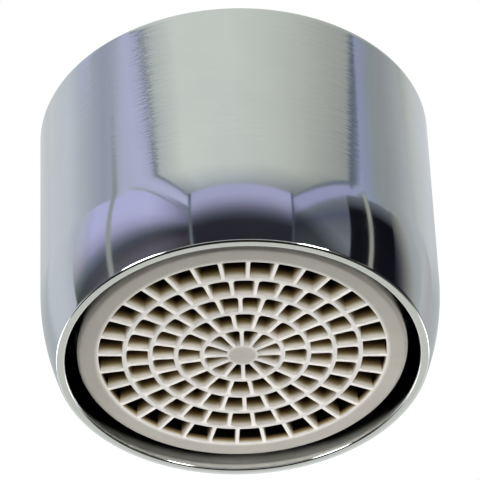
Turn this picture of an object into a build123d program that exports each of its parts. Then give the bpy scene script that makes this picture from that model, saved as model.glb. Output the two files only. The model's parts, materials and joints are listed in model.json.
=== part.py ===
from build123d import *
import os
from math import asin, cos, radians, sin

# Flow restrictor for a basin tap: an aerating outlet cartridge in a screw-on housing.
# Millimetres. +Z points up the water path towards the spout, and the part stands on the
# flat rim of its outlet, whose centre is the origin. Everything is turned about Z.

# Housing, turned brass with a female thread
thread_d = 22.0  # nominal diameter of the female thread, cut down to its roots
thread_depth = 0.54  # height of the thread's ridges, which the cartridge has to pass
thread_length = 5.7
sleeve_wall = 1.0  # wall of the sleeve outside the thread
entry_chamfer = 0.5  # lead-in of the thread
inlet_edge_round = 0.15
seat_play = 0.12  # play of the cartridge's flange in its seat below the thread
taper_h = 5.25  # curved taper from the sleeve to the outlet rim
rim_width = 0.55  # flat lip of the outlet rim
rim_edge_round = 0.18
ledge_h = 1.2  # inner ledge that carries the cartridge
ledge_gap = 0.11  # play of the cartridge's outlet end in the ledge

# Outlet grid, moulded plastic
grid_recess = 0.5  # grid face above the outlet rim
air_gap = 0.72  # annular air inlet between the rim and the grid
grid_rim_t = 0.45
grid_rim_w = 1.26  # plain rim round the cells
grid_rim_round = 0.3
hub_d = 1.86
ring_counts = (12, 16, 24, 28, 32)  # cells in each ring, from the hub outwards
first_cell_w = 1.35  # radial width of the cells next to the hub
outer_cell_w = 1.4  # radial width of the cells next to the rim
cell_corner_round = 0.24  # outer corners of the cells, except next to the rim, where they are sharp
round_web = 0.27
spoke_web = 0.24
spoke_azimuth = 60.0  # the rings start together on this azimuth
grid_depth = 1.85
collar_wall = 0.4  # collar of the grid inside the cartridge's tube

# Cartridge tube, moulded plastic
flange_gap = 0.16  # play of the cartridge's flange inside the thread's ridges
flange_step = 0.46  # flange beyond the outlet end, which lies on the ledge
flange_t = 1.0
tube_step = 0.14  # tube inside the outlet end
tube_wall = 0.5
slip = 0.05  # radial play of the pieces inside the tube
chamber_h = 1.95  # mixing chamber with the air windows
chamber_wall = 1.0
window_count = 8
window_h = 1.2
window_w = 4.2

# Mixing grids, two alike
mixer_count = 2
mixer_h = 0.8
mixer_rim = 0.5
mixer_bar = 0.45
mixer_bar_h = 0.4
mixer_pitch = 2.0

# Jet plate with its fine nozzles
jet_t = 0.7
jet_rim_h = 0.5
jet_rim = 0.6
nozzle_d = 0.7
nozzle_count = 20
nozzle_margin = 1.35  # outer circle of nozzles inside the plate's rim
nozzle_row = 1.7  # between the two circles

# Flow regulator: fluted core, elastic ring and seat
regulator_base_t = 0.7
regulator_wall_h = 1.1
regulator_wall = 0.6
core_d = 8.2
core_h = 1.6
flute_count = 8
flute_d = 1.1
ring_cord_d = 1.7
ring_gap = 0.1  # play of the elastic ring round the core
ring_lift = 0.03  # the relaxed ring just clears its seat
control_gap = 0.25  # room outside the elastic ring
control_wall = 0.6
control_wall_h = 1.0
port_count = 12
port_d = 0.9

# Inlet strainer
strainer_flange_t = 0.7
strainer_play = 0.2  # room between the cone and the washer
strainer_h = 1.7
strainer_cone_w = 3.3  # sloping side, seen from above
strainer_wall = 0.45
strainer_slots = 32
strainer_slot_w = 0.6
strainer_slot_margin = 0.15  # closed band above and below the slots
strainer_top_counts = (8, 16)
strainer_top_web = 0.4

# Sealing washer, soft rubber
washer_t = 1.8
washer_width = 1.7
washer_edge_round = 0.15

near = 1e-6  # tolerance for picking corners of an outline

# Radii that follow from the thread
thread_r = thread_d / 2
body_r = thread_r + sleeve_wall
flange_r = thread_r - thread_depth - flange_gap
seat_r = flange_r + seat_play
grid_r = flange_r - flange_step
ledge_r = grid_r + ledge_gap
outlet_r = grid_r + air_gap
rim_r = outlet_r + rim_width
opening_r = grid_r - grid_rim_w
tube_r = grid_r - tube_step
tube_bore_r = tube_r - tube_wall
chamber_r = tube_r - chamber_wall
inner_r = tube_bore_r - slip
collar_bore_r = inner_r - collar_wall
hub_r = hub_d / 2
washer_bore_r = flange_r - washer_width
core_r = core_d / 2
ring_r = core_r + ring_gap + ring_cord_d / 2
control_r = ring_r + ring_cord_d / 2 + control_gap

# Heights of the stack, from the outlet upwards
tube_z = grid_recess + grid_rim_t
mixer_z = grid_recess + grid_depth
chamber_z = mixer_z + mixer_count * mixer_h
jet_z = chamber_z + chamber_h
regulator_z = jet_z + jet_t + jet_rim_h
seat_z = regulator_z + regulator_base_t
strainer_z = seat_z + regulator_wall_h
flange_top_z = strainer_z + strainer_flange_t
ledge_z = flange_top_z - flange_t
washer_top_z = flange_top_z + washer_t
body_h = washer_top_z + thread_length + entry_chamfer


def turned(points):
    """Solid of revolution about Z from a closed outline of (radius, height) points."""
    return revolve(Plane.XZ * make_face(Polyline(*points, close=True)), Axis.Z)


def ring(inner, outer, low, high):
    """Plain ring of rectangular section."""
    return turned([(inner, low), (outer, low), (outer, high), (inner, high)])


def around(shape, count, start=0.0):
    """Copies of a shape evenly spaced about Z."""
    return [Rot(0, 0, start + 360 * i / count) * shape for i in range(count)]


def cell_outline(inner, outer, count, web, corner_round):
    """One cell of a ring, centred on +X: two arcs about Z and two sides parallel to the spokes."""

    def corner(radius, side):
        angle = radians(180 / count) - asin(web / 2 / radius)
        return (radius * cos(angle), side * radius * sin(angle))

    outline = Line(corner(inner, -1), corner(outer, -1))
    outline += ThreePointArc(corner(outer, -1), (outer, 0), corner(outer, 1))
    outline += Line(corner(outer, 1), corner(inner, 1))
    outline += ThreePointArc(corner(inner, 1), (inner, 0), corner(inner, -1))
    cell = make_face(outline)
    if corner_round:
        cell = fillet(cell.vertices().sort_by(Axis.X)[-2:], corner_round)
    return cell


def ring_of_cells(inner, outer, count, web, low, high, start=0.0, corner_round=0.0):
    """Prisms of a whole ring of cells, a spoke standing on the start azimuth."""
    cell = extrude(cell_outline(inner, outer, count, web, corner_round), high - low)
    return around(Pos(0, 0, low) * cell, count, start + 180 / count)


def make_housing():
    """Sleeve with a curved taper to the outlet rim, a threaded inlet, a seat and an inner ledge."""
    ledge_cone = outlet_r - ledge_r
    lip = Line((outlet_r, 0), (rim_r, 0))
    taper = TangentArc((body_r, taper_h), (rim_r, 0), tangent=(0, -1))
    rest = Polyline(
        (body_r, taper_h),
        (body_r, body_h),
        (thread_r + entry_chamfer, body_h),
        (thread_r, body_h - entry_chamfer),
        (thread_r, washer_top_z),
        (seat_r, washer_top_z),
        (seat_r, ledge_z),
        (ledge_r, ledge_z),
        (ledge_r, ledge_z - ledge_h),
        (outlet_r, ledge_z - ledge_h - ledge_cone),
        (outlet_r, 0),
    )
    profile = make_face(lip + taper + rest)
    profile = fillet(profile.vertices().filter_by_position(Axis.Y, -near, near), rim_edge_round)
    inlet_corners = profile.vertices().filter_by_position(Axis.Y, body_h - near, body_h + near)
    profile = fillet(inlet_corners.sort_by(Axis.X)[-1], inlet_edge_round)
    return revolve(Plane.XZ * profile, Axis.Z)


def make_outlet_grid():
    """Hub, round webs and spokes in rings of cells, with a thin rim and a collar for the tube."""
    body = ring(0, collar_bore_r, grid_recess, mixer_z)
    body += ring(collar_bore_r, inner_r, tube_z, mixer_z)
    rim_face = make_face(
        Polyline(
            (opening_r, grid_recess),
            (grid_r, grid_recess),
            (grid_r, tube_z),
            (opening_r, tube_z),
            close=True,
        )
    )
    face_corners = rim_face.vertices().filter_by_position(Axis.Y, grid_recess - near, grid_recess + near)
    rim_face = fillet(face_corners.sort_by(Axis.X)[-1], grid_rim_round)
    body += revolve(Plane.XZ * rim_face, Axis.Z)
    first_web_r = hub_r + first_cell_w + round_web / 2
    last_web_r = opening_r - outer_cell_w - round_web / 2
    *inner_counts, outer_count = ring_counts
    web_pitch = (last_web_r - first_web_r) / (len(inner_counts) - 1)
    inner = hub_r
    for index, count in enumerate(inner_counts):
        web_r = first_web_r + web_pitch * index
        outer = web_r - round_web / 2
        body -= ring_of_cells(
            inner, outer, count, spoke_web, grid_recess, mixer_z, spoke_azimuth, cell_corner_round
        )
        inner = web_r + round_web / 2
    body -= ring_of_cells(inner, opening_r, outer_count, spoke_web, grid_recess, mixer_z, spoke_azimuth)
    body -= ring_of_cells(inner, collar_bore_r, outer_count, spoke_web, tube_z, mixer_z, spoke_azimuth)
    return body


def make_cartridge_tube():
    """Tube with a flange on top, a thicker mixing chamber and a row of air windows."""
    tube = turned(
        [
            (tube_bore_r, tube_z),
            (tube_r, tube_z),
            (tube_r, ledge_z),
            (flange_r, ledge_z),
            (flange_r, flange_top_z),
            (tube_bore_r, flange_top_z),
            (tube_bore_r, jet_z),
            (chamber_r, jet_z),
            (chamber_r, chamber_z),
            (tube_bore_r, chamber_z),
        ]
    )
    window_z = chamber_z + chamber_h / 2
    window = Pos(tube_r - chamber_wall / 2, 0, window_z) * Box(2 * chamber_wall, window_w, window_h)
    return tube - around(window, window_count)


def make_mixing_grid(level):
    """Round frame with two crossed rows of bars, each grid turned against the one below."""
    low = mixer_z + level * mixer_h
    frame = ring(inner_r - mixer_rim, inner_r, low, low + mixer_h)
    reach = inner_r - mixer_rim / 2
    steps = int((reach - mixer_bar) / mixer_pitch)
    bars = []
    for step in range(-steps, steps + 1):
        offset = step * mixer_pitch
        length = 2 * (reach**2 - offset**2) ** 0.5 - mixer_bar
        bars.append(Pos(0, offset, low + mixer_bar_h / 2) * Box(length, mixer_bar, mixer_bar_h))
        bars.append(Pos(offset, 0, low + mixer_bar_h / 2) * Box(mixer_bar, length, mixer_bar_h))
    return Rot(0, 0, 90 * level / mixer_count) * (frame + bars)


def make_jet_plate():
    """Dished plate with two circles of fine nozzles."""
    top = jet_z + jet_t
    plate = ring(0, inner_r, jet_z, top) + ring(inner_r - jet_rim, inner_r, top, regulator_z)
    for row in range(2):
        circle_r = inner_r - jet_rim - nozzle_margin - row * nozzle_row
        nozzle = Pos(circle_r, 0, jet_z + jet_t / 2) * Cylinder(nozzle_d / 2, jet_t)
        plate -= around(nozzle, nozzle_count, row * 180 / nozzle_count)
    return plate


def make_regulator_seat():
    """Seat with ports under the elastic ring, a fluted core inside it and a wall outside it."""
    seat = ring(0, inner_r, regulator_z, seat_z)
    seat += ring(inner_r - regulator_wall, inner_r, seat_z, strainer_z)
    seat += ring(control_r, control_r + control_wall, seat_z, seat_z + control_wall_h)
    star = Circle(core_r) - around(Pos(core_r, 0) * Circle(flute_d / 2), flute_count)
    seat += Pos(0, 0, seat_z) * extrude(star, core_h)
    port = Pos(ring_r, 0, regulator_z + regulator_base_t / 2) * Cylinder(port_d / 2, regulator_base_t)
    return seat - around(port, port_count)


def make_regulator_ring():
    """Elastic ring round the core, which the pressure squeezes into the flutes."""
    return Pos(0, 0, seat_z + ring_lift + ring_cord_d / 2) * Torus(ring_r, ring_cord_d / 2)


def make_inlet_strainer():
    """Low sieve cone with a flat top, on a flange that lies on the regulator under the washer."""
    foot_r = washer_bore_r - strainer_play
    top_r = foot_r - strainer_cone_w
    top_z = flange_top_z + strainer_h
    cone = turned(
        [
            (foot_r - strainer_wall, strainer_z),
            (inner_r, strainer_z),
            (inner_r, flange_top_z),
            (foot_r, flange_top_z),
            (top_r, top_z),
            (0, top_z),
            (0, top_z - strainer_wall),
            (top_r - strainer_wall, top_z - strainer_wall),
            (foot_r - strainer_wall, flange_top_z - strainer_wall),
        ]
    )
    slot_low = flange_top_z + strainer_slot_margin
    slot_h = strainer_h - strainer_wall - 2 * strainer_slot_margin
    slot_reach = foot_r - top_r + strainer_wall
    slot = Pos(foot_r - slot_reach / 2, 0, slot_low + slot_h / 2) * Box(slot_reach, strainer_slot_w, slot_h)
    cone -= around(slot, strainer_slots)
    row_w = top_r / (len(strainer_top_counts) + 1)
    for row, count in enumerate(strainer_top_counts):
        inner = row_w * (row + 0.5)
        outer = inner + row_w - strainer_top_web
        cone -= ring_of_cells(inner, outer, count, strainer_top_web, top_z - strainer_wall, top_z)
    return cone


def make_sealing_washer():
    """Flat ring that seals the cartridge against the end of the spout."""
    section = make_face(
        Polyline(
            (washer_bore_r, flange_top_z),
            (flange_r, flange_top_z),
            (flange_r, washer_top_z),
            (washer_bore_r, washer_top_z),
            close=True,
        )
    )
    return revolve(Plane.XZ * fillet(section.vertices(), washer_edge_round), Axis.Z)


pieces = {
    "housing": make_housing(),
    "outlet_grid": make_outlet_grid(),
    "cartridge_tube": make_cartridge_tube(),
    "lower_mixing_grid": make_mixing_grid(0),
    "upper_mixing_grid": make_mixing_grid(1),
    "jet_plate": make_jet_plate(),
    "regulator_seat": make_regulator_seat(),
    "regulator_ring": make_regulator_ring(),
    "inlet_strainer": make_inlet_strainer(),
    "sealing_washer": make_sealing_washer(),
}

os.makedirs("parts", exist_ok=True)
for name, piece in pieces.items():
    export_step(piece, f"parts/{name}.step")
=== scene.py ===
import json
from functools import partial
from math import asin, cos, pi, radians, sin, sqrt

import bmesh
import bpy
import numpy as np
from bpy.props import FloatProperty, FloatVectorProperty, IntVectorProperty, PointerProperty
from mathutils import Matrix, Vector


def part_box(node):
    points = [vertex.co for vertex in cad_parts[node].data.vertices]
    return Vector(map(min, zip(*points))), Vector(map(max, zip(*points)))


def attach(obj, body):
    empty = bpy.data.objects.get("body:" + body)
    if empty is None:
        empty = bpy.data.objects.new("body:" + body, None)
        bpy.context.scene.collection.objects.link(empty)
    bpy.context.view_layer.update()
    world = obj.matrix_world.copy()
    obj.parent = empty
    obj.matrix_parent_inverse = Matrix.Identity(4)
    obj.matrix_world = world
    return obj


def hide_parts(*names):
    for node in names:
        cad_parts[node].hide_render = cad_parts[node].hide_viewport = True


bl_info = {
    "name": "Flow restrictor",
    "version": (1, 0, 0),
    "blender": (4, 5, 0),
    "location": "3D View > Sidebar > Flow restrictor",
    "description": "Chromed outlet of a basin tap with its grid and seal, dressed over the packed solids",
    "category": "Mesh",
}

MM = 0.001

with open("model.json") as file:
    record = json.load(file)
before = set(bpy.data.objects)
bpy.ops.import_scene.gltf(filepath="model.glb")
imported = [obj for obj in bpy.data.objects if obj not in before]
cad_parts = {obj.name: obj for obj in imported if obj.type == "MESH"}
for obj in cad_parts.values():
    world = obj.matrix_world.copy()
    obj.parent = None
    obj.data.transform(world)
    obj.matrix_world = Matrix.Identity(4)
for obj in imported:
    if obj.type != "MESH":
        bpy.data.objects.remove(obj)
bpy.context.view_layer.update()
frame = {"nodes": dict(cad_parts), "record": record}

_, HOUSING_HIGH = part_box("housing")
GRID_LOW, GRID_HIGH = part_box("outlet_grid")
TUBE_LOW, TUBE_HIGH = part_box("cartridge_tube")
_, MIXER_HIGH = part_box("lower_mixing_grid")
WASHER_LOW, WASHER_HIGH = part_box("sealing_washer")
SPOUT_THREAD = next(m for m in frame["record"]["mounts"] if m["name"] == "spout_thread")["dims"]


# Settings


def linear(code):
    """Linear red, green and blue of an sRGB hex colour."""
    channels = [int(code[i : i + 2], 16) / 255 for i in (1, 3, 5)]
    return tuple(c / 12.92 if c <= 0.04045 else ((c + 0.055) / 1.055) ** 2.4 for c in channels)


def length(name, description, size):
    """A length that a user may change, in metres."""
    return FloatProperty(name=name, description=description, default=size, min=0, precision=5, unit="LENGTH")


def angle(name, description, degrees):
    """An angle that a user may change, given in degrees and kept in radians."""
    return FloatProperty(name=name, description=description, default=radians(degrees), subtype="ANGLE")


def factor(name, description, share):
    """A share from 0 to 1 that a user may change."""
    return FloatProperty(name=name, description=description, default=share, min=0, max=1, subtype="FACTOR")


def colour(name, description, code):
    """A colour that a user may change, given as an sRGB hex value and kept linear."""
    return FloatVectorProperty(
        name=name, description=description, default=linear(code), min=0, max=1, size=3, subtype="COLOR"
    )


class HousingSettings(bpy.types.PropertyGroup):
    """Sizes and finish of the chromed housing."""

    taper_height: length("Taper height", "Height of the curved taper above the outlet", 5.25 * MM)
    lip_width: length("Lip width", "Flat lip of the outlet rim", 0.55 * MM)
    air_gap: length("Air gap", "Ring of air between the rim and the grid", 0.72 * MM)
    edge_round: length("Edge round", "Rounding of the outlet rim's outer edge", 0.18 * MM)
    lip_round: length("Lip round", "Rounding of the outlet rim's inner edge", 0.12 * MM)
    inlet_round: length("Inlet round", "Rounding of the inlet's outer edge", 0.15 * MM)
    entry_chamfer: length("Entry chamfer", "Lead-in of the thread", 0.5 * MM)
    ledge_gap: length("Ledge gap", "Play of the cartridge in the ledge", 0.11 * MM)
    ledge_height: length("Ledge height", "Ledge that carries the cartridge", 1.2 * MM)
    flange_thickness: length("Flange thickness", "Flange of the cartridge on the ledge", 1.0 * MM)
    seat_play: length("Seat play", "Play of the flange in its seat", 0.12 * MM)
    thread_pitch: length("Thread pitch", "Rise of the thread in one turn", 1.0 * MM)
    thread_depth: length("Thread depth", "Height of the thread's ridges", 0.54 * MM)
    turning_pitch: length("Turning marks", "Spacing of the fine marks round the sleeve", 0.22 * MM)
    turning_length: length("Mark length", "Run of one turning mark round the sleeve", 1.8 * MM)
    turning_height: length("Mark height", "Height of the turning marks", 0.006 * MM)
    haze_size: length("Haze size", "Size of the duller clouds in the plate", 3 * MM)
    chrome: colour("Chrome", "Colour of the chrome plate", "#D3D6D6")
    chrome_haze: colour("Chrome haze", "Colour of the plate where it is a little dull", "#CBCECF")
    chrome_roughness: factor("Chrome roughness", "Roughness of the plate where it is bright", 0.05)
    haze_roughness: factor("Haze roughness", "Roughness of the plate where it is a little dull", 0.09)


class GridSettings(bpy.types.PropertyGroup):
    """Sizes and finish of the outlet grid."""

    hub_diameter: length("Hub", "Diameter of the hub", 1.86 * MM)
    rim_width: length("Rim width", "Plain rim round the cells", 1.26 * MM)
    rim_round: length("Rim round", "Rounding of the rim's outer edge", 0.3 * MM)
    first_cell: length("First cell", "Radial width of the cells next to the hub", 1.35 * MM)
    outer_cell: length("Outer cell", "Radial width of the cells next to the rim", 1.4 * MM)
    round_web: length("Round web", "Thickness of the round webs", 0.27 * MM)
    spoke_web: length("Spoke web", "Thickness of the spokes", 0.24 * MM)
    corner_round: length("Corner round", "Rounding of outer corners, not next to the rim", 0.24 * MM)
    sharp_corner: length("Sharp corner", "Rounding of the cells' other corners", 0.08 * MM)
    edge_round: length("Edge round", "Rounding of the cells' edges", 0.05 * MM)
    collar_wall: length("Collar wall", "Wall of the collar inside the tube", 0.4 * MM)
    cells: IntVectorProperty(
        name="Cells",
        description="Cells in each ring, from the hub outwards",
        size=5,
        default=(12, 16, 24, 28, 32),
    )
    spoke_azimuth: angle("Spoke azimuth", "Where the rings start together", 60)
    plastic: colour("Acetal", "Colour of the moulded acetal", "#E4DED1")
    plastic_pale: colour("Acetal pale", "Colour of the acetal's flow marks", "#ECE6DA")
    plastic_roughness: factor("Acetal roughness", "Roughness of the moulded acetal", 0.42)


class InsideSettings(bpy.types.PropertyGroup):
    """Sizes and finishes of the seal and of what lies behind the grid."""

    washer_round: length("Washer round", "Rounding of the washer's edges", 0.15 * MM)
    washer_width: length("Washer width", "Width of the washer's ring", 1.7 * MM)
    washer_rubber: colour("Washer rubber", "Colour of the sealing washer", "#29292A")
    washer_roughness: factor("Washer roughness", "Roughness of the sealing washer", 0.62)
    tube_plastic: colour("Tube plastic", "Colour of the cartridge's tube", "#DCD6C9")
    tube_roughness: factor("Tube roughness", "Roughness of the cartridge's tube", 0.4)
    mixer_plastic: colour("Mixer plastic", "Colour of the mixing grids and the jet plate", "#3A3733")
    mixer_roughness: factor("Mixer roughness", "Roughness of the mixing grids and the jet plate", 0.45)
    regulator_plastic: colour("Regulator plastic", "Colour of the regulator's seat", "#C4C5C2")
    regulator_roughness: factor("Regulator roughness", "Roughness of the regulator's seat", 0.42)
    regulator_rubber: colour("Regulator rubber", "Colour of the elastic ring", "#302F2D")
    rubber_roughness: factor("Rubber roughness", "Roughness of the elastic ring", 0.5)
    strainer_plastic: colour("Strainer plastic", "Colour of the inlet strainer", "#DAD8D1")
    strainer_roughness: factor("Strainer roughness", "Roughness of the inlet strainer", 0.38)


class StageSettings(bpy.types.PropertyGroup):
    """Light tent, lamps and camera."""

    floor_size: length("Floor", "Side of the floor", 600 * MM)
    floor_drop: length("Floor drop", "Gap between the outlet rim and the floor", 0.02 * MM)
    floor_plain: length("Plain floor", "Radius within which the floor doesn't fade", 30 * MM)
    floor_fibre: length("Floor fibre", "Size of the clouds of fibre in the floor's paper", 4 * MM)
    floor_colour: colour("Floor colour", "Colour of the floor", "#F6F6F4")
    below: colour("Below", "Dim room straight below the outlet", "#2A2826")
    backdrop: colour("Backdrop", "White backdrop round the tent", "#FFFFFF")
    lamp_glow: FloatProperty(name="Lamp glow", description="Brightness of the lamps", default=10, min=0)
    camera_lens: FloatProperty(name="Lens", description="Focal length", default=309.75, unit="CAMERA")
    camera_distance: length("Camera distance", "Distance of the camera", 250.3 * MM)
    camera_elevation: angle("Camera elevation", "Upward tilt of the view", 40.06)
    camera_roll: angle("Camera roll", "Turn of the view about its axis", -2.33)
    camera_target: length("Camera target", "Height of the point that the camera is placed from", 8 * MM)
    aim_right: length("Aim right", "How far to the right of that point the view is centred", 0.084 * MM)
    aim_up: length("Aim up", "How far above that point the view is centred", 1.138 * MM)


class RestrictorSettings(bpy.types.PropertyGroup):
    """Everything that a user may change."""

    housing: PointerProperty(type=HousingSettings)
    grid: PointerProperty(type=GridSettings)
    inside: PointerProperty(type=InsideSettings)
    stage: PointerProperty(type=StageSettings)


# Surfaces

MERGE_DISTANCE = 1e-4 * MM
SHARP_EDGE = radians(40)
HOUSING_COLUMNS = 252
THREAD_ROWS_PER_PITCH = 20
WASHER_COLUMNS = 160
EDGE_STEPS = 5
# Steps on the inner and outer side of a cell, ring by ring. The rings on both sides of a round web then share
# the points on its middle: 144, 144, 168 and 224 of them.
ROUND_STEPS = ((6, 12), (9, 9), (6, 7), (6, 8), (7, 8))
SIDE_STEPS = 8


def arc(centre, radius, start, end, steps):
    """Arc in the half plane of (radius, height): centre + radius (cos a, sin a), with a from start to end in
    degrees, as so many points."""
    turn = np.radians(np.linspace(start, end, steps))
    return np.stack([centre[0] + radius * np.cos(turn), centre[1] + radius * np.sin(turn)], -1)


def run(start, end, steps=4):
    """Straight stretch of an outline: start + t (end - start), with t eased so that the points crowd at both
    ends."""
    share = (1 - np.cos(np.linspace(0, pi, steps))) / 2
    return np.array(start) + share[:, None] * (np.array(end) - np.array(start))


def turned(radius, height, turn):
    """Surface of revolution: radius r and height z at the angle a give (r cos a, r sin a, z)."""
    radius, height, turn = np.broadcast_arrays(radius, height, turn)
    return np.stack([radius * np.cos(turn), radius * np.sin(turn), height], -1)


def full_turn(columns, start=0.0):
    """Angles of a whole turn, the last one short of the first."""
    return start + np.arange(columns) * 2 * pi / columns


def quads_of(rows, columns, close_rows=False, close_columns=True):
    """Corner numbers of the quads between neighbouring rows and columns of a grid of points."""
    row = np.arange(rows if close_rows else rows - 1)[:, None]
    column = np.arange(columns if close_columns else columns - 1)[None]
    next_row, next_column = (row + 1) % rows, (column + 1) % columns
    corners = [row * columns + column, row * columns + next_column]
    corners += [next_row * columns + next_column, next_row * columns + column]
    return np.stack(np.broadcast_arrays(*corners), -1).reshape(-1, 4)


def joined(*surfaces):
    """Points and quads of several surfaces as one."""
    firsts = np.cumsum([0] + [points.size // 3 for points, _ in surfaces[:-1]])
    points = np.concatenate([points.reshape(-1, 3) for points, _ in surfaces])
    return points, np.concatenate([quads + first for (_, quads), first in zip(surfaces, firsts)])


def new_object(name, points, quads, material):
    """Mesh object at the origin from points and quads, with its doubles merged and its shading smooth."""
    mesh = bpy.data.meshes.new(name)
    mesh.vertices.add(len(points))
    mesh.vertices.foreach_set("co", points.astype(np.float32).ravel())
    mesh.loops.add(quads.size)
    mesh.loops.foreach_set("vertex_index", quads.astype(np.int32).ravel())
    mesh.polygons.add(len(quads))
    mesh.polygons.foreach_set("loop_start", np.arange(0, quads.size, 4, dtype=np.int32))
    mesh.update(calc_edges=True)
    merged = bmesh.new()
    merged.from_mesh(mesh)
    bmesh.ops.remove_doubles(merged, verts=merged.verts, dist=MERGE_DISTANCE)
    merged.to_mesh(mesh)
    merged.free()
    mesh.shade_smooth()
    mesh.set_sharp_from_angle(angle=SHARP_EDGE)
    mesh.materials.append(material)
    made = bpy.data.objects.new(name, mesh)
    bpy.context.scene.collection.objects.link(made)
    return made


def new_piece(name, surface, material, node):
    """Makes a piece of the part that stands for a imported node."""
    piece = new_object(name, *surface, material)
    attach(piece, "root")
    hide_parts(node)


def housing_surface(settings):
    """Closed outline of the housing turned about Z; between the seat and the chamfer the thread's ridges are
    taken off its radius.

    A ridge stands where the height in pitches minus the turn is halfway between whole numbers. Its flanks are
    straight, its crest and the root beside it are shares of the pitch, and it runs out over the last pitch.
    """
    crest, root = 1 / 4, 1 / 8
    body_r, body_h = HOUSING_HIGH.x, HOUSING_HIGH.z
    thread_r = SPOUT_THREAD["r_mm"] * MM
    grid_r = GRID_HIGH.x
    taper_h, edge, lip = settings.taper_height, settings.edge_round, settings.lip_round
    outlet_r = grid_r + settings.air_gap
    rim_r = outlet_r + settings.lip_width
    seat_r = TUBE_HIGH.x + settings.seat_play
    ledge_r = grid_r + settings.ledge_gap
    ledge_top = TUBE_HIGH.z - settings.flange_thickness
    ledge_low = ledge_top - settings.ledge_height
    cone_low = ledge_low - (outlet_r - ledge_r)
    taper_r = ((body_r - rim_r) ** 2 + taper_h**2) / (2 * (body_r - rim_r))
    taper_centre = (body_r - taper_r, taper_h)
    edge_centre = (taper_centre[0] + sqrt((taper_r - edge) ** 2 - (taper_h - edge) ** 2), edge)
    taper_end = np.degrees(asin((taper_h - edge) / (taper_r - edge)))
    inlet, chamfer = settings.inlet_round, settings.entry_chamfer
    thread_top, thread_low = body_h - chamfer, WASHER_HIGH.z
    thread_rows = int((thread_top - thread_low) / settings.thread_pitch * THREAD_ROWS_PER_PITCH)
    outside = np.concatenate(
        [
            arc((outlet_r + lip, lip), lip, 180, 270, 9),
            arc(edge_centre, edge, -90, -taper_end, 12),
            arc(taper_centre, taper_r, -taper_end, 0, 64)[1:],
            run((body_r, taper_h), (body_r, body_h - inlet), 12)[1:],
            arc((body_r - inlet, body_h - inlet), inlet, 0, 90, 7)[1:],
            run((body_r - inlet, body_h), (thread_r + chamfer, body_h))[1:],
            run((thread_r + chamfer, body_h), (thread_r, thread_top))[1:-1],
        ]
    )
    thread_z = np.linspace(thread_top, thread_low, thread_rows)
    thread = np.stack([np.full_like(thread_z, thread_r), thread_z], -1)
    inside = np.concatenate(
        [
            run((seat_r, thread_low), (seat_r, ledge_top)),
            run((ledge_r, ledge_top), (ledge_r, ledge_low)),
            run((outlet_r, cone_low), (outlet_r, lip), 8)[:-1],
        ]
    )
    outline = np.concatenate([outside, thread, inside])
    around = full_turn(HOUSING_COLUMNS)
    phase = np.mod((thread_z[:, None] - thread_low) / settings.thread_pitch - around / (2 * pi), 1)
    foot, flank = (1 - root) / 2, (1 - crest - root) / 2
    ridge = np.clip((foot - np.abs(phase - 0.5)) / flank, 0, 1)
    run_out = np.clip(np.minimum(thread_top - thread_z, thread_z - thread_low) / settings.thread_pitch, 0, 1)
    depth = np.zeros((len(outline), len(around)))
    depth[len(outside) : len(outside) + thread_rows] = settings.thread_depth * ridge * run_out[:, None]
    points = turned(outline[:, :1] - depth, outline[:, 1:], around)
    return points.reshape(-1, 3), quads_of(len(outline), len(around), close_rows=True)


def cell_loop(inner_steps, side_steps, outer_steps):
    """Loop round the square from -1 to 1: inner, far, outer and near side, as (across, out)."""
    inner = np.linspace(-1, 1, inner_steps, endpoint=False)
    side = np.linspace(-1, 1, side_steps, endpoint=False)
    outer = np.linspace(-1, 1, outer_steps, endpoint=False)
    across = np.concatenate([inner, np.ones(side_steps), -outer, -np.ones(side_steps)])
    out = np.concatenate([-np.ones(inner_steps), side, np.ones(outer_steps), -side])
    return across, out


def squareness(corner, half):
    """Exponent of the superellipse that cuts the corners of a square as deep as a rounding does, for half the
    square's side."""
    return -np.log(2) / np.log(1 - (1 - sqrt(0.5)) * corner / half)


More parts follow.
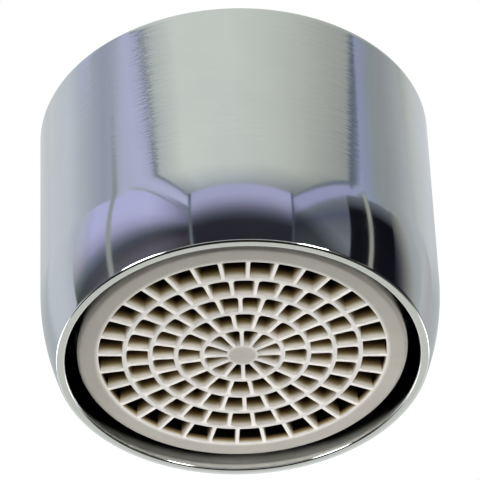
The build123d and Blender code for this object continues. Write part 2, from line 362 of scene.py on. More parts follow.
def ring_of_cells(settings, count, cell, tile, steps, outer_corner, collar_r=None):
    """One ring of the grid: for each cell a strip that runs from the middle of its webs to the cell's edge,
    over the rounded edge, up the cell's wall and back to the middle of the webs on the other side.

    A cell's edge is the square loop drawn in to a superellipse, which rounds its corners, then laid out
    between two radii, its sides parallel to the spokes. Its points crowd towards the corners by a sine.
    A collar radius widens the cell above the rim.
    """
    inner_r, outer_r = cell
    low, high = GRID_LOW.z, GRID_HIGH.z
    rim_top = TUBE_LOW.z
    edge = settings.edge_round
    tile_across, tile_out = cell_loop(*steps)
    across, out = np.sin(tile_across * pi / 2), np.sin(tile_out * pi / 2)
    half_side = (outer_r - inner_r) / 2
    sharp_corner = squareness(settings.sharp_corner, half_side)
    corner = np.where(out > 0, squareness(outer_corner, half_side), sharp_corner)
    squeeze = (np.abs(across) ** corner + np.abs(out) ** corner) ** (-1 / corner)
    bend = np.linspace(0, pi / 2, EDGE_STEPS)
    wall = [rim_top, rim_top, (rim_top + high) / 2, high]
    reach = collar_r or outer_r
    grown = np.concatenate([edge * (1 - np.sin(bend)), np.zeros(len(wall))])
    height = np.concatenate([low + edge * (1 - np.cos(bend)), wall])
    outer = np.concatenate([np.full(len(bend) + 1, outer_r), np.full(len(wall) - 1, reach)])
    grown, height, outer = grown[:, None], height[:, None], outer[:, None]
    wall_in, wall_out = inner_r - grown, outer + grown
    radius = (wall_in + wall_out) / 2 + out * squeeze * (wall_out - wall_in) / 2
    half = pi / count - np.arcsin((settings.spoke_web / 2 - grown) / radius)
    tile_r = tile[0] + (tile_out[None] + 1) / 2 * (tile[1] - tile[0])
    tile_turn = tile_across[None] * pi / count
    radius = np.concatenate([tile_r, radius, tile_r])
    turn = np.concatenate([tile_turn, across * squeeze * half, tile_turn])
    height = np.concatenate([[[low]], height, [[high]]])
    centre = settings.spoke_azimuth + pi / count + full_turn(count)[:, None, None]
    points = turned(radius, height, turn + centre)
    quads = quads_of(*radius.shape)
    firsts = np.arange(count) * radius.size
    return points.reshape(-1, 3), (quads + firsts[:, None, None]).reshape(-1, 4)


def web_circles(settings):
    """Radius of the hub, radii of the middles of the round webs, radius of the opening inside the rim."""
    hub_r = settings.hub_diameter / 2
    opening_r = GRID_HIGH.x - settings.rim_width
    first = hub_r + settings.first_cell + settings.round_web / 2
    last = opening_r - settings.outer_cell - settings.round_web / 2
    return hub_r, np.linspace(first, last, len(settings.cells) - 1), opening_r


def outlet_grid_surface(settings):
    """Hub, five rings of cells and rim; neighbours share their points on the middle circle of each web."""
    low, high = GRID_LOW.z, GRID_HIGH.z
    grid_r, inner_r, rim_top = GRID_HIGH.x, MIXER_HIGH.x, TUBE_LOW.z
    hub_r, webs, opening_r = web_circles(settings)
    web = settings.round_web
    collar_r = inner_r - settings.collar_wall
    tiles = np.concatenate([[hub_r / 2], webs, [(collar_r + inner_r) / 2]])
    starts = np.concatenate([[hub_r], webs + web / 2])
    ends = np.concatenate([webs - web / 2, [opening_r]])
    last = len(settings.cells) - 1
    rings = [
        ring_of_cells(
            settings,
            count,
            (starts[i], ends[i]),
            (tiles[i], tiles[i + 1]),
            (ROUND_STEPS[i][0], SIDE_STEPS, ROUND_STEPS[i][1]),
            settings.sharp_corner if i == last else settings.corner_round,
            collar_r if i == last else None,
        )
        for i, count in enumerate(settings.cells)
    ]
    hub_turn = full_turn(settings.cells[0] * ROUND_STEPS[0][0], settings.spoke_azimuth)
    hub_rows = np.linspace(0, tiles[0], 4)[:, None]
    hub_face = turned(hub_rows, low, hub_turn)
    hub_back = turned(hub_rows[::-1], high, hub_turn)
    hub_quads = quads_of(len(hub_rows), len(hub_turn))
    rim_turn = full_turn(settings.cells[-1] * ROUND_STEPS[-1][1], settings.spoke_azimuth)
    rim_round = settings.rim_round
    rim_outline = np.concatenate(
        [
            run((tiles[-1], low), (grid_r - rim_round, low)),
            arc((grid_r - rim_round, low + rim_round), rim_round, -90, 0, 10)[1:],
            run((grid_r, low + rim_round), (grid_r, rim_top))[1:],
            run((grid_r, rim_top), (inner_r, rim_top))[1:],
            run((inner_r, rim_top), (inner_r, high))[1:],
            run((inner_r, high), (tiles[-1], high))[1:],
        ]
    )
    rim = turned(rim_outline[:, :1], rim_outline[:, 1:], rim_turn)
    rim_quads = quads_of(len(rim_outline), len(rim_turn))
    return joined(*rings, (hub_face, hub_quads), (hub_back, hub_quads), (rim, rim_quads))


def washer_surface(settings):
    """Flat ring with rounded edges: a rounded rectangle turned about Z."""
    outer_r, edge = WASHER_HIGH.x, settings.washer_round
    inner_r = outer_r - settings.washer_width
    low, high = WASHER_LOW.z, WASHER_HIGH.z
    outline = np.concatenate(
        [
            arc((outer_r - edge, low + edge), edge, -90, 0, 6),
            arc((outer_r - edge, high - edge), edge, 0, 90, 6),
            arc((inner_r + edge, high - edge), edge, 90, 180, 6),
            arc((inner_r + edge, low + edge), edge, 180, 270, 6),
        ]
    )
    around = full_turn(WASHER_COLUMNS)
    points = turned(outline[:, :1], outline[:, 1:], around)
    return points.reshape(-1, 3), quads_of(len(outline), len(around), close_rows=True)


# Materials

POLYMER_IOR = 1.48
MOULD_GRAIN, MOULD_GRAIN_HEIGHT = 0.25 * MM, 0.002 * MM
SHEET_GRAIN, SHEET_GRAIN_HEIGHT = 0.2 * MM, 0.004 * MM
# Clouds of colour in a moulding: their size in grains, and how much darker and paler they are.
CLOUD_GRAINS = 6
CLOUD_DARK, CLOUD_PALE = 0.92, 1.06
# How much paler the bloom on sheet rubber is than the rubber.
RUBBER_BLOOM = 1.3
# How far the roughness of a moulding strays to both sides of its middle value.
ROUGHNESS_SPREAD = 0.06
# A Mix node set to this multiplies colours. Its input 0 is the factor, 6 and 7 are the colours, and its
# output 2 is the product.
PRODUCT = {"data_type": "RGBA", "blend_type": "MULTIPLY"}

# Tones that the outlet grid's acetal is multiplied by, and how far a tone takes to fade into the next. They
# paint light and shade on the one acetal: paler spokes as a painted highlight, greyer webs, hub and rim as
# painted shade.
SPOKE_TONE, WEB_TONE, RIM_TONE, BARE_TONE = "#F2F4FA", "#DEE0E7", "#B2B2B2", "#FFFFFF"
HUB_FADE, RIM_FADE, SIDE_FADE = 0.23 * MM, 0.27 * MM, 0.1 * MM
# Painted shade on the walls of the cells, brown and deepening into them: depth behind the grid's face in mm,
# and the shade's tone there.
CELL_DEPTH_SHADE = (
    (0.12, "#FFFFFF"),
    (0.20, "#FFFDF6"),
    (0.32, "#E6E0CA"),
    (0.48, "#B9AA82"),
    (0.63, "#9E8558"),
    (0.79, "#756142"),
    (0.95, "#483A28"),
    (1.20, "#1E1B17"),
)
# The painted shade deepens so many times as fast on the outermost walls, which start this far inside the
# opening.
OUTER_WALL_SHADE_GAIN = 2.1
OUTER_WALL_START, OUTER_WALL_END = 0.06 * MM, 0.01 * MM
# Painted shade on the rim, greyer to the front left: a direction, and the tone at places along it in mm.
# It fades in over the opening's edge.
RIM_SHADE_WAY = (0.34, 0.94, 0)
RIM_SHADE_TONES = ((-4, "#E6E6E6"), (0, "#EEEEEE"), (4, "#FFFFFF"))
RIM_SHADE_START, RIM_SHADE_END = 0.08 * MM, 0.12 * MM
# Painted shade on the tube, darkening up the air gap: depth above its lower end in mm, and the shade's tone
# there.
GAP_DEPTH_SHADE = ((0.15, "#FFFFFF"), (0.43, "#ECECEC"), (0.61, "#BCBCBC"), (0.76, "#6C6C6C"), (0.91, "#121212"))
# Towards the rear, between these places along a direction, the painted shade comes to start deeper by a lag.
REAR_WAY = (0.14, 0.99, 0)
REAR_START, REAR_END = 9.1 * MM, 9.65 * MM
REAR_LAG = 0.2 * MM


def add_node(tree, kind, values=None, links=None, **settings):
    """Adds a shader node, gives it its settings and input values, and links its inputs to other sockets."""
    node = tree.nodes.new(kind)
    for name, value in settings.items():
        setattr(node, name, value)
    for name, value in (values or {}).items():
        node.inputs[name].default_value = value
    for name, socket in (links or {}).items():
        tree.links.new(socket, node.inputs[name])
    return node


def new_material(name):
    """Empty node material."""
    material = bpy.data.materials.new(name)
    material.use_nodes = True
    material.node_tree.nodes.clear()
    return material, material.node_tree


def rgba(linear_colour):
    """Linear colour with full cover."""
    return (*linear_colour, 1)


def shade(tone, share):
    """A colour made darker or paler by a share."""
    return tuple(min(1, c * share) for c in tone)


def tone_along(tree, socket, stops):
    """Colour that follows a length, stop by stop of (place in mm, sRGB hex colour)."""
    low, high = stops[0][0] * MM, stops[-1][0] * MM
    share = add_node(tree, "ShaderNodeMapRange", {"From Min": low, "From Max": high}, {"Value": socket})
    ramp = add_node(tree, "ShaderNodeValToRGB", links={"Fac": share.outputs["Result"]})
    elements = ramp.color_ramp.elements
    while len(elements) < len(stops):
        elements.new(0.5)
    for element, (at, code) in zip(elements, stops):
        element.position = (at * MM - low) / (high - low)
        element.color = rgba(linear(code))
    return ramp.outputs["Color"]


def chromed_brass(settings):
    """Bright chrome plate on turned brass: a mirror, drawn out a little along fine marks that run round the
    sleeve, with faint clouds where the plate is duller.

    Real turning marks are a few hundredths of a millimetre apart. They are drawn coarser, so that they show,
    and they fade out on the taper, which is polished.
    """
    material, tree = new_material("bright chrome on turned brass")
    place = add_node(tree, "ShaderNodeTexCoord")
    along, across = 1 / settings.turning_length, 1 / settings.turning_pitch
    marks_place = add_node(
        tree, "ShaderNodeMapping", {"Scale": (along, along, across)}, {"Vector": place.outputs["Object"]}
    )
    marks = add_node(
        tree,
        "ShaderNodeTexNoise",
        {"Scale": 1, "Detail": 3, "Roughness": 0.6},
        {"Vector": marks_place.outputs["Vector"]},
    )
    split = add_node(tree, "ShaderNodeSeparateXYZ", links={"Vector": place.outputs["Object"]})
    straight = add_node(
        tree,
        "ShaderNodeMapRange",
        {"From Min": settings.taper_height, "From Max": 1.6 * settings.taper_height, "To Min": 0.1},
        {"Value": split.outputs["Z"]},
    )
    bump = add_node(
        tree,
        "ShaderNodeBump",
        {"Distance": settings.turning_height},
        {"Height": marks.outputs["Fac"], "Strength": straight.outputs["Result"]},
    )
    haze = add_node(
        tree,
        "ShaderNodeTexNoise",
        {"Scale": 1 / settings.haze_size, "Detail": 4, "Roughness": 0.55},
        {"Vector": place.outputs["Object"]},
    )
    ramp = add_node(tree, "ShaderNodeValToRGB", links={"Fac": haze.outputs["Fac"]})
    ramp.color_ramp.elements[0].color = rgba(settings.chrome)
    ramp.color_ramp.elements[1].color = rgba(settings.chrome_haze)
    bright, dull = settings.chrome_roughness, settings.haze_roughness
    gloss = add_node(
        tree,
        "ShaderNodeMapRange",
        {"From Min": 0.3, "From Max": 0.7, "To Min": bright, "To Max": dull},
        {"Value": haze.outputs["Fac"]},
    )
    shader = add_node(
        tree,
        "ShaderNodeBsdfPrincipled",
        {"Metallic": 1},
        {
            "Base Color": ramp.outputs["Color"],
            "Roughness": gloss.outputs["Result"],
            "Normal": bump.outputs["Normal"],
        },
    )
    add_node(tree, "ShaderNodeOutputMaterial", links={"Surface": shader.outputs["BSDF"]})
    return material


def moulded(name, colours, roughness, grain, grain_height, tint=None):
    """Moulded plastic or rubber: a soft sheen over clouds of two near colours and the mould's fine grain.

    A tint, if given, takes the tree, the place and the colour, and gives the colour that is used. Here the
    tints paint light and shade.
    """
    material, tree = new_material(name)
    place = add_node(tree, "ShaderNodeTexCoord")
    clouds = add_node(
        tree,
        "ShaderNodeTexNoise",
        {"Scale": 1 / (CLOUD_GRAINS * grain), "Detail": 5, "Roughness": 0.6},
        {"Vector": place.outputs["Object"]},
    )
    ramp = add_node(tree, "ShaderNodeValToRGB", links={"Fac": clouds.outputs["Fac"]})
    for element, position, tone in zip(ramp.color_ramp.elements, (0.35, 0.65), colours):
        element.position = position
        element.color = rgba(tone)
    base = tint(tree, place.outputs["Object"], ramp.outputs["Color"]) if tint else ramp.outputs["Color"]
    skin = add_node(
        tree,
        "ShaderNodeTexNoise",
        {"Scale": 1 / grain, "Detail": 2, "Roughness": 0.5},
        {"Vector": place.outputs["Object"]},
    )
    bump = add_node(
        tree,
        "ShaderNodeBump",
        {"Strength": 1, "Distance": grain_height},
        {"Height": skin.outputs["Fac"]},
    )
    gloss = add_node(
        tree,
        "ShaderNodeMapRange",
        {"To Min": roughness - ROUGHNESS_SPREAD, "To Max": roughness + ROUGHNESS_SPREAD},
        {"Value": clouds.outputs["Fac"]},
    )
    shader = add_node(
        tree,
        "ShaderNodeBsdfPrincipled",
        {"IOR": POLYMER_IOR},
        {
            "Base Color": base,
            "Roughness": gloss.outputs["Result"],
            "Normal": bump.outputs["Normal"],
        },
    )
    add_node(tree, "ShaderNodeOutputMaterial", links={"Surface": shader.outputs["BSDF"]})
    return material


def painted_grid_light(settings, tree, place, base):
    """Painted light and shade on the outlet grid's one acetal: the spokes are palest, as a painted highlight,
    then the round webs, then the hub and the rim, which are greyer as painted shade.

    Painted brown shade darkens the cells' walls with depth, most of all the outermost walls, and ends in
    the middle third of the rim. The rim is greyer to the front left, as painted shade.
    """
    hub_r, webs, opening_r = web_circles(settings)
    half, edge = settings.round_web / 2, settings.edge_round / 2
    third = settings.rim_width / 3
    tones = [(hub_r - HUB_FADE, RIM_TONE), (hub_r, WEB_TONE)]
    for middle in webs:
        inner, outer = middle - half, middle + half
        tones += [(inner - edge, SPOKE_TONE), (inner + edge, WEB_TONE)]
        tones += [(outer - edge, WEB_TONE), (outer + edge, SPOKE_TONE)]
    tones += [(opening_r, SPOKE_TONE), (opening_r + RIM_FADE, RIM_TONE)]
    tones += [(GRID_HIGH.x - SIDE_FADE, RIM_TONE), (GRID_HIGH.x, BARE_TONE)]
    split = add_node(tree, "ShaderNodeSeparateXYZ", links={"Vector": place})
    flat = add_node(tree, "ShaderNodeVectorMath", {1: (1, 1, 0)}, {0: place}, operation="MULTIPLY")
    out = add_node(tree, "ShaderNodeVectorMath", links={0: flat.outputs["Vector"]}, operation="LENGTH")
    # Painted light and shade: paler spokes as a painted highlight; greyer webs, hub and rim as painted shade.
    pale = tone_along(tree, out.outputs["Value"], [(at / MM, tone) for at, tone in tones])
    behind = add_node(tree, "ShaderNodeMath", {1: GRID_LOW.z}, {0: split.outputs["Z"]}, operation="SUBTRACT")
    outer_shade_gain = add_node(
        tree,
        "ShaderNodeMapRange",
        {
            "From Min": opening_r - OUTER_WALL_START,
            "From Max": opening_r - OUTER_WALL_END,
            "To Min": 1,
            "To Max": OUTER_WALL_SHADE_GAIN,
        },
        {"Value": out.outputs["Value"]},
    )
    depth = add_node(
        tree,
        "ShaderNodeMath",
        links={0: behind.outputs["Value"], 1: outer_shade_gain.outputs["Result"]},
        operation="MULTIPLY",
    )
    # Painted shade: the cells' walls turn brown and dark with their depth.
    depth_shade = tone_along(tree, depth.outputs["Value"], CELL_DEPTH_SHADE)
    shade_reach = add_node(
        tree,
        "ShaderNodeMapRange",
        {"From Min": opening_r + 2 * third, "From Max": opening_r + third},
        {"Value": out.outputs["Value"]},
    )
    aside = add_node(tree, "ShaderNodeVectorMath", {1: RIM_SHADE_WAY}, {0: place}, operation="DOT_PRODUCT")
    # Painted shade: the rim greyer to the front left.
    rim_shade = tone_along(tree, aside.outputs["Value"], RIM_SHADE_TONES)
    on_rim = add_node(
        tree,
        "ShaderNodeMapRange",
        {"From Min": opening_r - RIM_SHADE_START, "From Max": opening_r + RIM_SHADE_END},
        {"Value": out.outputs["Value"]},
    )
    face = add_node(tree, "ShaderNodeMix", {0: 1}, {6: base, 7: pale}, **PRODUCT)
    walls = add_node(
        tree, "ShaderNodeMix", links={0: shade_reach.outputs["Result"], 6: face.outputs[2], 7: depth_shade}, **PRODUCT
    )
    rim = add_node(
        tree, "ShaderNodeMix", links={0: on_rim.outputs["Result"], 6: walls.outputs[2], 7: rim_shade}, **PRODUCT
    )
    return rim.outputs[2]


def painted_gap_shade(tree, place, base):
    """Painted shade on the tube: its outside darkens with the depth of the air gap, and the darkening starts
    deeper at the rear."""
    split = add_node(tree, "ShaderNodeSeparateXYZ", links={"Vector": place})
    rearward = add_node(tree, "ShaderNodeVectorMath", {1: REAR_WAY}, {0: place}, operation="DOT_PRODUCT")
    start = add_node(
        tree,
        "ShaderNodeMapRange",
        {"From Min": REAR_START, "From Max": REAR_END, "To Min": TUBE_LOW.z, "To Max": TUBE_LOW.z + REAR_LAG},
        {"Value": rearward.outputs["Value"]},
    )
    depth = add_node(
        tree,
        "ShaderNodeMath",
        links={0: split.outputs["Z"], 1: start.outputs["Result"]},
        operation="SUBTRACT",
    )
    # Painted shade: the tube darkens up the air gap, and starts deeper at the rear.
    depth_shade = tone_along(tree, depth.outputs["Value"], GAP_DEPTH_SHADE)
    return add_node(tree, "ShaderNodeMix", {0: 1}, {6: base, 7: depth_shade}, **PRODUCT).outputs[2]


# Stage

# Heights on a sphere of radius 1 round the part, where the dim room ends and where the backdrop starts.
BELOW_END, BACKDROP_START = -0.72, -0.42
CLIP_START, CLIP_END = 10 * MM, 10
# How dark the fibres are in the floor's paper.
FIBRE_SHADE = 0.98
# Light tent in millimetres: name, corner, two sides, and one or two tones of the cloth. A tone is a direction
# and its stops of (place along it, colour).
ALONG_X, ALONG_Y, ALONG_Z = (1, 0, 0), (0, 1, 0), (0, 0, 1)
WALL = (0, 0, 358)
TENT = (
    (
        "roof", (-176, -372, 208), (400, 0, 0), (0, 472, 0),
        (ALONG_Y, (-372, "#B4BBC0"), (-330, "#C8CFD2"), (-225, "#ECF1EA")),
        (
            ALONG_X, (-176, "#CFD2DC"), (-155, "#E2E4E8"), (-115, "#FFFFFF"), (0, "#FFFFFF"),
            (100, "#EFEDEC"), (148, "#E2E0DF"), (190, "#CDCCCC"), (225, "#B8B8BA"),
        ),
    ),
    (
        "roof_rear", (-176, 100, 208), (400, 0, 0), (0, 110, 0),
        (ALONG_Y, (100, "#ECF1EA"), (150, "#E1E4E5"), (172, "#D9DCE0"), (210, "#D8DBDF")),
        (
            (1, -2, 0), (-200, "#FFFFFF"), (-100, "#EFEDEC"), (-52, "#E2E0DF"), (-10, "#CDCCCC"),
            (25, "#B8B8BA"),
        ),
    ),
    (
        "front", (-176, -372, -150), (392, 0, 0), WALL,
        (ALONG_Z, (76, "#2E2D36"), (97, "#4F5362"), (118, "#7D7A94"), (140, "#A5A5C5"), (170, "#C0C0E6")),
    ),
    (
        "front_seam_left", (-174, -371, -150), (11, 0, 0), WALL,
        (ALONG_Z, (60, "#7E8A8C"), (95, "#767B7E"), (120, "#6E7981"), (150, "#76848F"), (195, "#505E6C")),
    ),
    (
        "front_seam_right", (205, -371, -150), (9, 0, 0), WALL,
        (ALONG_Z, (60, "#565A62"), (97, "#4A5258"), (125, "#384851"), (195, "#384851")),
    ),
    (
        "left", (-176, -372, -150), (14, 402, 0), WALL,
        (
            (0, 0.073, 1), (20, "#6E6A76"), (36, "#57545E"), (48, "#545863"), (60, "#80869C"),
            (72, "#B4B1D6"), (88, "#CCCBF6"), (100, "#D1D1FD"),
        ),
        (
            ALONG_Y, (-372, "#9F9F9F"), (-302, "#BCBCBC"), (-222, "#E6E6E6"), (-160, "#FFFFFF"),
            (-20, "#FFFFFF"), (-7, "#F2F8EE"), (8, "#FBFDE8"), (30, "#FAFDDC"),
        ),
    ),
    (
        "left_hem", (-175, -372, 128), (8.4, 242, 23.3), (0, 0, 7),
        (ALONG_Y, (-372, "#8A909C"), (-190, "#A0A6B2"), (-130, "#B9BFCD")),
    ),
    (
        "left_hem_rear", (-166.6, -130, 149), (2, 58, 1), (0, 0, 11),
        (ALONG_Y, (-130, "#B9BFCD"), (-100, "#BFC5D3"), (-72, "#CACDE6")),
    ),
    (
        "left_top", (-175, -372, 158), (14, 402, 0), (0, 0, 36),
        (ALONG_Z, (158, "#CCCEEC"), (175, "#CED1F2"), (187, "#C8CCEA"), (194, "#C5C8E3")),
    ),
    (
        "left_seam", (-175, -372, 194), (14, 402, 0), (0, 0, 14),
        (ALONG_Z, (194, "#C6C6E4"), (202, "#7C838C"), (208, "#8E969C")),
    ),
    (
        "left_shade", (-162, -84, 133), (0, 114, 0), (0, 0, 75),
        (
            ALONG_Y, (-84, "#CDD0EF"), (-70, "#CACDE8"), (-58, "#BEC2D6"), (-44, "#B4B9CC"),
            (-30, "#AEB4C6"), (-16, "#B5BACA"), (4, "#C0C6D2"), (30, "#CCD4DE"),
        ),
    ),
    (
        "left_pole", (-157, -57, -150), (0, 10, 0), (0, 0, 297),
        (ALONG_Z, (110, "#AAAFAA"), (147, "#9EA4AA")),
    ),
    (
        "left_rear", (-162, 30, -150), (0, 60, 0), WALL,
        (ALONG_Y, (30, "#CCD4DE"), (58, "#DCE0EA"), (90, "#DDE2E8")),
    ),
    (
        "left_far", (-162, 90, -150), (0, 120, 0), WALL,
        (
            (0, 1, -0.4), (20, "#DDE2E8"), (80, "#DBE1E7"), (92, "#D8DDE3"), (102, "#D0D6DD"),
            (115, "#C6CCD2"), (131, "#BFC7CE"), (150, "#BBC4C9"),
        ),
    ),
    (
        "rear", (-162, 210, -240), (358, 0, 0), (0, 0, 448),
        (
            ALONG_Z, (-155, "#E4E5DC"), (-140, "#FFFFFF"), (-60, "#FFFFFF"), (30, "#DDE1E0"),
            (110, "#BFC3C5"), (172, "#C1C5C8"), (208, "#D6D9DD"),
        ),
    ),
    (
        "right", (216, -372, -150), (7, 275, 0), WALL,
        (
            (0, -0.128, 1), (70, "#848A92"), (100, "#767A84"), (133, "#60667A"), (155, "#747A86"),
            (170, "#868C9A"), (183, "#B0B2D8"), (202, "#B2B4DA"),
        ),
        ((0, 1, 2), (-140, "#8E8E8E"), (-94, "#BCBCBC"), (-50, "#E7E7E7"), (-20, "#FFFFFF")),
    ),
    (
        "right_fold", (223, -97, -150), (-27, 50, 0), WALL,
        (ALONG_Z, (60, "#92949E"), (150, "#7E848E"), (166, "#B0B4D6"), (180, "#A8AFCE")),
    ),
    (
        "right_seam", (215, -372, 188), (7, 275, 0), (0, 0, 20),
        (ALONG_Z, (188, "#A8AFCE"), (196, "#727A8A"), (204, "#8A9498"), (208, "#A8B2AC")),
    ),
    (
        "right_fold_seam", (222, -97, 176), (-27, 50, 0), (0, 0, 32),
        (ALONG_Z, (176, "#A8AFCE"), (186, "#7A8496"), (198, "#6A7282"), (204, "#8A9498"), (208, "#A8B2AC")),
    ),
    (
        "right_rear", (196, -47, -150), (0, 137, 0), WALL,
        (
            ALONG_Y, (-47, "#A6AED0"), (-24, "#A2AABC"), (-8, "#A2A9AB"), (25, "#A7AAAE"),
            (55, "#B3B6B8"), (90, "#C1C4C7"),
        ),
    ),
    (
        "right_far", (196, 90, -150), (0, 120, 0), WALL,
        ((0, 1, -0.4), (10, "#C1C4C7"), (58, "#CBCED0"), (78, "#CFD0D3"), (95, "#C9C8CB"), (115, "#C5C3C7")),
    ),
    (
        "doorway", (192, -105, -150), (0, 113, 0), (0, 0, 290),
        (ALONG_Z, (0, "#0C0C16"), (112, "#0C0C16"), (142, "#7E848E")),
    ),
    (
        "doorway_end", (192, 8, -150), (0, 100, 0), (0, 0, 292),
        (
            (0, 1, 0.38), (28, "#14141C"), (40, "#34363E"), (51, "#52525A"), (62, "#767472"),
            (75, "#8F908D"), (88, "#A5A5A2"), (104, "#B6B9BC"), (140, "#C1C4C7"),
        ),
    ),
    (
        "right_pole", (188, -56, -150), (0, 9.5, 0), (0, 0, 299),
        (ALONG_Z, (0, "#B2B0A4"), (149, "#B2B4AC")),
    ),
)
# Lamps: name, azimuth from the front and elevation in degrees, distance, width and height in millimetres,
# share of the glow, and whether the lamp is mirrored. A mirrored lamp shows only in reflections, and the
# others light only what is matt.
LAMPS = (
    ("lamp_left", -56, -20, 190, 78, 100, 1, True),
    ("lamp_right", 42, -20, 190, 46, 100, 1, True),
    ("lamp_front", 0, -21, 190, 190, 70, 0.45, False),
    ("lamp_rear", 165, -48.5, 90, 60, 24, 1.4, False),
    ("lamp_rear_left", -135, -28, 190, 58, 76, 0.24, True),
    ("lamp_rear_right", 138, -26, 190, 44, 66, 0.24, True),
)


def panel(name, corner, along, up, material, floor=False):
    """Flat panel of the stage: corner + u along + v up, with u and v from 0 to 1.

    The floor shows to the camera alone, and the tent shows in reflections alone.
    """
    u, v = np.meshgrid(np.linspace(0, 1, 2), np.linspace(0, 1, 2))
    points = np.array(corner) + u[..., None] * np.array(along) + v[..., None] * np.array(up)
    made = new_object(name, points.reshape(-1, 3), quads_of(2, 2, close_columns=False), material)
    made.visible_camera = floor
    made.visible_glossy = not floor
    made.visible_diffuse = made.visible_transmission = made.visible_shadow = False


def tent_cloth(name, tones):
    """Lit cloth of the light tent: its glow is the product of its tones, each of which follows the place
    along its direction."""
    material, tree = new_material(name)
    place = add_node(tree, "ShaderNodeTexCoord")
    cloth = None
    for direction, *stops in tones:
        along = add_node(
            tree,
            "ShaderNodeVectorMath",
            {1: direction},
            {0: place.outputs["Object"]},
            operation="DOT_PRODUCT",
        )
        tone = tone_along(tree, along.outputs["Value"], stops)
        if cloth:
            tone = add_node(tree, "ShaderNodeMix", {0: 1}, {6: cloth, 7: tone}, **PRODUCT).outputs[2]
        cloth = tone
    glow = add_node(tree, "ShaderNodeEmission", {"Strength": 1}, {"Color": cloth})
    add_node(tree, "ShaderNodeOutputMaterial", links={"Surface": glow.outputs["Emission"]})
    return material


def floor_paper(settings):
    """White paper that shows only from above, so that the view from below sees the outlet, and that fades
    into the white round it."""
    material, tree = new_material("white floor paper")
    place = add_node(tree, "ShaderNodeTexCoord")
    fibre = add_node(
        tree,
        "ShaderNodeTexNoise",
        {"Scale": 1 / settings.floor_fibre, "Detail": 4},
        {"Vector": place.outputs["Object"]},
    )
    ramp = add_node(tree, "ShaderNodeValToRGB", links={"Fac": fibre.outputs["Fac"]})
    ramp.color_ramp.elements[0].color = rgba(shade(settings.floor_colour, FIBRE_SHADE))
    ramp.color_ramp.elements[1].color = rgba(settings.floor_colour)
    paper = add_node(tree, "ShaderNodeBsdfDiffuse", links={"Color": ramp.outputs["Color"]})
    clear = add_node(tree, "ShaderNodeBsdfTransparent")
    out = add_node(tree, "ShaderNodeVectorMath", links={0: place.outputs["Object"]}, operation="LENGTH")
    fade = add_node(
        tree,
        "ShaderNodeMapRange",
        {"From Min": settings.floor_plain, "From Max": settings.floor_size / 2},
        {"Value": out.outputs["Value"]},
        interpolation_type="SMOOTHSTEP",
    )
    side = add_node(tree, "ShaderNodeNewGeometry")
    hidden = add_node(
        tree,
        "ShaderNodeMath",
        links={0: side.outputs["Backfacing"], 1: fade.outputs["Result"]},
        operation="MAXIMUM",
    )
    mix = add_node(
        tree,
        "ShaderNodeMixShader",
        links={0: hidden.outputs["Value"], 1: paper.outputs["BSDF"], 2: clear.outputs["BSDF"]},
    )
    add_node(tree, "ShaderNodeOutputMaterial", links={"Surface": mix.outputs["Shader"]})
    return material


def make_world(settings):
    """Pale backdrop for the light, dim straight below, and plain white for the camera."""
    world = bpy.data.worlds.new("pale backdrop")
    bpy.context.scene.world = world
    world.use_nodes = True
    tree = world.node_tree
    tree.nodes.clear()
    place = add_node(tree, "ShaderNodeTexCoord")
    split = add_node(tree, "ShaderNodeSeparateXYZ", links={"Vector": place.outputs["Generated"]})
    rise = add_node(
        tree, "ShaderNodeMapRange", {"From Min": -1, "From Max": 1}, {"Value": split.outputs["Z"]}
    )
    ramp = add_node(tree, "ShaderNodeValToRGB", links={"Fac": rise.outputs["Result"]})
    stops = ((BELOW_END, settings.below), (BACKDROP_START, settings.backdrop))
    for element, (height, tone) in zip(ramp.color_ramp.elements, stops):
        element.position = (height + 1) / 2
        element.color = rgba(tone)
    backdrop = add_node(tree, "ShaderNodeBackground", {"Strength": 1}, {"Color": ramp.outputs["Color"]})
    white = add_node(tree, "ShaderNodeBackground", {"Color": (1, 1, 1, 1), "Strength": 1})
    path = add_node(tree, "ShaderNodeLightPath")
    mix = add_node(
        tree,
        "ShaderNodeMixShader",
        links={
            0: path.outputs["Is Camera Ray"],
            1: backdrop.outputs["Background"],
            2: white.outputs["Background"],
        },
    )
    add_node(tree, "ShaderNodeOutputWorld", links={"Surface": mix.outputs["Shader"]})


def make_floor(settings):
    """Floor paper just under the outlet rim."""
    side = settings.floor_size
    corner = (-side / 2, -side / 2, -settings.floor_drop)
    panel("floor", corner, (side, 0, 0), (0, side, 0), floor_paper(settings), floor=True)


def make_tent():
    """Pale roof, lilac walls that darken downwards, poles, seams, and a dark doorway on the right."""
    for name, corner, along, up, *tones in TENT:
        sides = (np.array(side) * MM for side in (corner, along, up))
        panel("tent_" + name, *sides, tent_cloth("tent cloth " + name.replace("_", " "), tones))


def make_lamps(settings):
    """Soft lamps below the part: two beside the camera and two at the rear for the chrome, and one at the
    front and one at the rear for what is matt.

    A lamp's power goes with its area, so that its size leaves its glow as it is.
    """
    for name, azimuth, elevation, distance, width, height, share, mirrored in LAMPS:
        lamp = bpy.data.lights.new(name, "AREA")
        lamp.shape = "RECTANGLE"
        lamp.size, lamp.size_y = width * MM, height * MM
        lamp.energy = settings.lamp_glow * share * pi * lamp.size * lamp.size_y
        lamp_object = bpy.data.objects.new(name, lamp)
        bpy.context.scene.collection.objects.link(lamp_object)
        a, e = radians(azimuth), radians(elevation)
        away = Vector((sin(a) * cos(e), -cos(a) * cos(e), sin(e)))
        lamp_object.location = away * distance * MM
        lamp_object.rotation_euler = away.to_track_quat("Z", "Y").to_euler()
        lamp_object.visible_camera = False
        lamp_object.visible_glossy = mirrored
        lamp_object.visible_diffuse = not mirrored


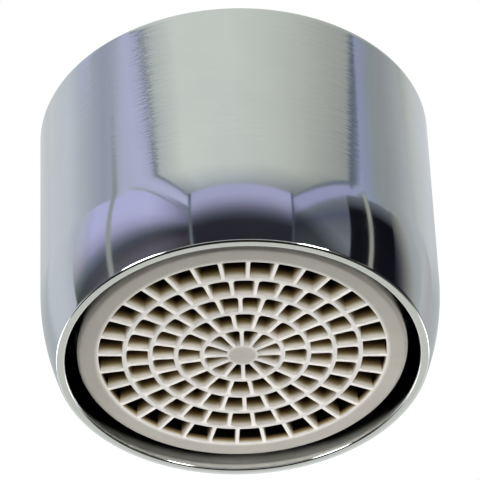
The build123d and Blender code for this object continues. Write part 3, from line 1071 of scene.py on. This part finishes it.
def make_camera(context, settings):
    """Long lens from below and in front: the view's axis rises by the elevation, and the frame turns by the
    roll. The camera then turns a little on the spot, so that the view is centred beside its target.
    """
    e, roll = settings.camera_elevation, settings.camera_roll
    target = Vector((0, 0, settings.camera_target))
    forward = Vector((0, cos(e), sin(e)))
    level, rise = Vector((1, 0, 0)), Vector((0, -sin(e), cos(e)))
    right = cos(roll) * level + sin(roll) * rise
    up = cos(roll) * rise - sin(roll) * level
    location = target - settings.camera_distance * forward
    aim = target + settings.aim_right * right + settings.aim_up * up
    forward = (aim - location).normalized()
    right = forward.cross(up).normalized()
    up = right.cross(forward)
    camera = bpy.data.cameras.new("camera")
    camera.lens = settings.camera_lens
    camera.clip_start, camera.clip_end = CLIP_START, CLIP_END
    camera_object = bpy.data.objects.new("camera", camera)
    context.scene.collection.objects.link(camera_object)
    turn = Matrix((right, up, -forward)).transposed()
    camera_object.matrix_world = Matrix.Translation(location) @ turn.to_4x4()
    context.scene.camera = camera_object


# Operators


class RESTRICTOR_OT_housing(bpy.types.Operator):
    """Make the chromed housing with its taper, rim, ledge and thread"""

    bl_idname = "restrictor.housing"
    bl_label = "Housing"

    def execute(self, context):
        settings = context.scene.restrictor.housing
        chrome = chromed_brass(settings)
        new_piece("chromed_housing", housing_surface(settings), chrome, "housing")
        return {"FINISHED"}


class RESTRICTOR_OT_outlet_grid(bpy.types.Operator):
    """Make the outlet grid with its rings of cells"""

    bl_idname = "restrictor.outlet_grid"
    bl_label = "Outlet grid"

    def execute(self, context):
        settings = context.scene.restrictor.grid
        # Injection moulding gives acetal a waxy off-white with a satin sheen and faint flow marks.
        acetal = moulded(
            "satin moulded acetal",
            (settings.plastic, settings.plastic_pale),
            settings.plastic_roughness,
            MOULD_GRAIN,
            MOULD_GRAIN_HEIGHT,
            # The tint paints light and shade on the grid's spokes, webs, rim and cell walls.
            partial(painted_grid_light, settings),
        )
        new_piece("moulded_outlet_grid", outlet_grid_surface(settings), acetal, "outlet_grid")
        return {"FINISHED"}


class RESTRICTOR_OT_seal(bpy.types.Operator):
    """Make the sealing washer"""

    bl_idname = "restrictor.seal"
    bl_label = "Sealing washer"

    def execute(self, context):
        settings = context.scene.restrictor.inside
        # A washer punched from pressed sheet is matt black, with a grey bloom in clouds.
        rubber = moulded(
            "matt black sheet rubber",
            (settings.washer_rubber, shade(settings.washer_rubber, RUBBER_BLOOM)),
            settings.washer_roughness,
            SHEET_GRAIN,
            SHEET_GRAIN_HEIGHT,
        )
        new_piece("rubber_washer", washer_surface(settings), rubber, "sealing_washer")
        return {"FINISHED"}


class RESTRICTOR_OT_inside(bpy.types.Operator):
    """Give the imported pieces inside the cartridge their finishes"""

    bl_idname = "restrictor.inside"
    bl_label = "Inside pieces"

    def execute(self, context):
        own = context.scene.restrictor.inside
        mixers = ("lower_mixing_grid", "upper_mixing_grid", "jet_plate")
        # All are moulded: satin acetal, plain or dyed grey, and for the elastic ring a duller black rubber.
        finishes = (
            # The tube's tint is painted shade up the air gap.
            ("satin moulded tube acetal", own.tube_plastic, own.tube_roughness, painted_gap_shade, "cartridge_tube"),
            ("dark moulded acetal", own.mixer_plastic, own.mixer_roughness, None, *mixers),
            ("grey moulded acetal", own.regulator_plastic, own.regulator_roughness, None, "regulator_seat"),
            ("moulded nitrile rubber", own.regulator_rubber, own.rubber_roughness, None, "regulator_ring"),
            ("natural moulded acetal", own.strainer_plastic, own.strainer_roughness, None, "inlet_strainer"),
        )
        for name, tone, roughness, tint, *nodes in finishes:
            tones = (shade(tone, CLOUD_DARK), shade(tone, CLOUD_PALE))
            material = moulded(name, tones, roughness, MOULD_GRAIN, MOULD_GRAIN_HEIGHT, tint)
            for node in nodes:
                for slot in frame["nodes"][node].material_slots:
                    slot.material = material
        return {"FINISHED"}


class RESTRICTOR_OT_stage(bpy.types.Operator):
    """Make the floor, the light tent, the lamps and the camera"""

    bl_idname = "restrictor.stage"
    bl_label = "Stage"

    def execute(self, context):
        settings = context.scene.restrictor.stage
        make_world(settings)
        make_floor(settings)
        make_tent()
        make_lamps(settings)
        make_camera(context, settings)
        context.scene.view_settings.view_transform = "Standard"
        return {"FINISHED"}


class RESTRICTOR_PT_pieces(bpy.types.Panel):
    """Lists the pieces of the flow restrictor"""

    bl_label = "Flow restrictor"
    bl_idname = "RESTRICTOR_PT_pieces"
    bl_space_type = "VIEW_3D"
    bl_region_type = "UI"
    bl_category = "Flow restrictor"

    def draw(self, context):
        for operator in OPERATORS:
            self.layout.operator(operator.bl_idname)


OPERATORS = (
    RESTRICTOR_OT_housing,
    RESTRICTOR_OT_outlet_grid,
    RESTRICTOR_OT_seal,
    RESTRICTOR_OT_inside,
    RESTRICTOR_OT_stage,
)
CLASSES = (
    HousingSettings,
    GridSettings,
    InsideSettings,
    StageSettings,
    RestrictorSettings,
    *OPERATORS,
    RESTRICTOR_PT_pieces,
)


def register():
    for made in CLASSES:
        bpy.utils.register_class(made)
    bpy.types.Scene.restrictor = PointerProperty(type=RestrictorSettings)


def unregister():
    del bpy.types.Scene.restrictor
    for made in reversed(CLASSES):
        bpy.utils.unregister_class(made)


def main():
    register()
    bpy.ops.restrictor.housing()
    bpy.ops.restrictor.outlet_grid()
    bpy.ops.restrictor.seal()
    bpy.ops.restrictor.inside()
    bpy.ops.restrictor.stage()


if __name__ == "__main__":
    main()
